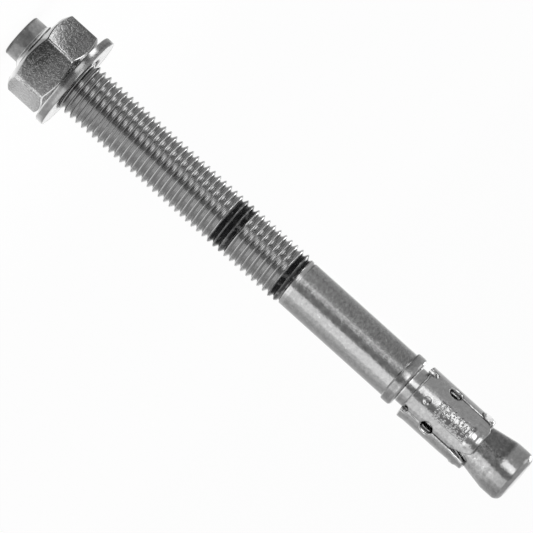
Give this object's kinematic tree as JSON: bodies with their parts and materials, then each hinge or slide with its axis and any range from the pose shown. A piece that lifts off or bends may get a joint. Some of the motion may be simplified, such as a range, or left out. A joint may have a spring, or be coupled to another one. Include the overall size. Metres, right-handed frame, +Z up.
{
  "type": "anchor bolt",
  "caption": "Zinc-plated wedge anchor: threaded stud with a cone end, a rolled expansion clip round its neck, a washer and a hexagon nut, standing on its tip with the cone at the top.",
  "frame": {"origin": "on the bolt's axis, on the surface that its flat tip stands on", "axes": "+Z up along the bolt's axis, from the tip with the nut to the cone end; -Y to the front, the side that the picture shows"},
  "size_m": [0.0292, 0.0293, 0.1806],
  "materials": {
    "stud_steel": "zinc-plated, mottled",
    "clip_steel": "zinc-plated sheet, mottled",
    "nut_steel": "zinc-plated, scratched",
    "washer_steel": "zinc-plated"
  },
  "bodies": {
    "stud": {"anchor_stud": "stud_steel"},
    "clip": {"expansion_clip": "clip_steel"},
    "washer": {"washer": "washer_steel"},
    "nut": {"hex_nut": "nut_steel"}
  },
  "joints": [
    {"name": "washer_slide", "type": "slide", "parent": "stud", "child": "washer", "axis": [0, 0, 1], "range_m": [-0.0058, 0.078]},
    {"name": "nut_turn", "type": "hinge", "parent": "washer", "child": "nut", "pos_m": [0, 0, 0.01195], "axis": [0, 0, 1], "range_deg": [-1044, 14040]},
    {"name": "clip_slide", "type": "slide", "parent": "stud", "child": "clip", "axis": [0, 0, 1], "range_m": [-0.0018, 0]}
  ],
  "couplings": [
    {"joint": "washer_slide", "follows": "nut_turn", "m_per_rad": 0.00031831}
  ]
}
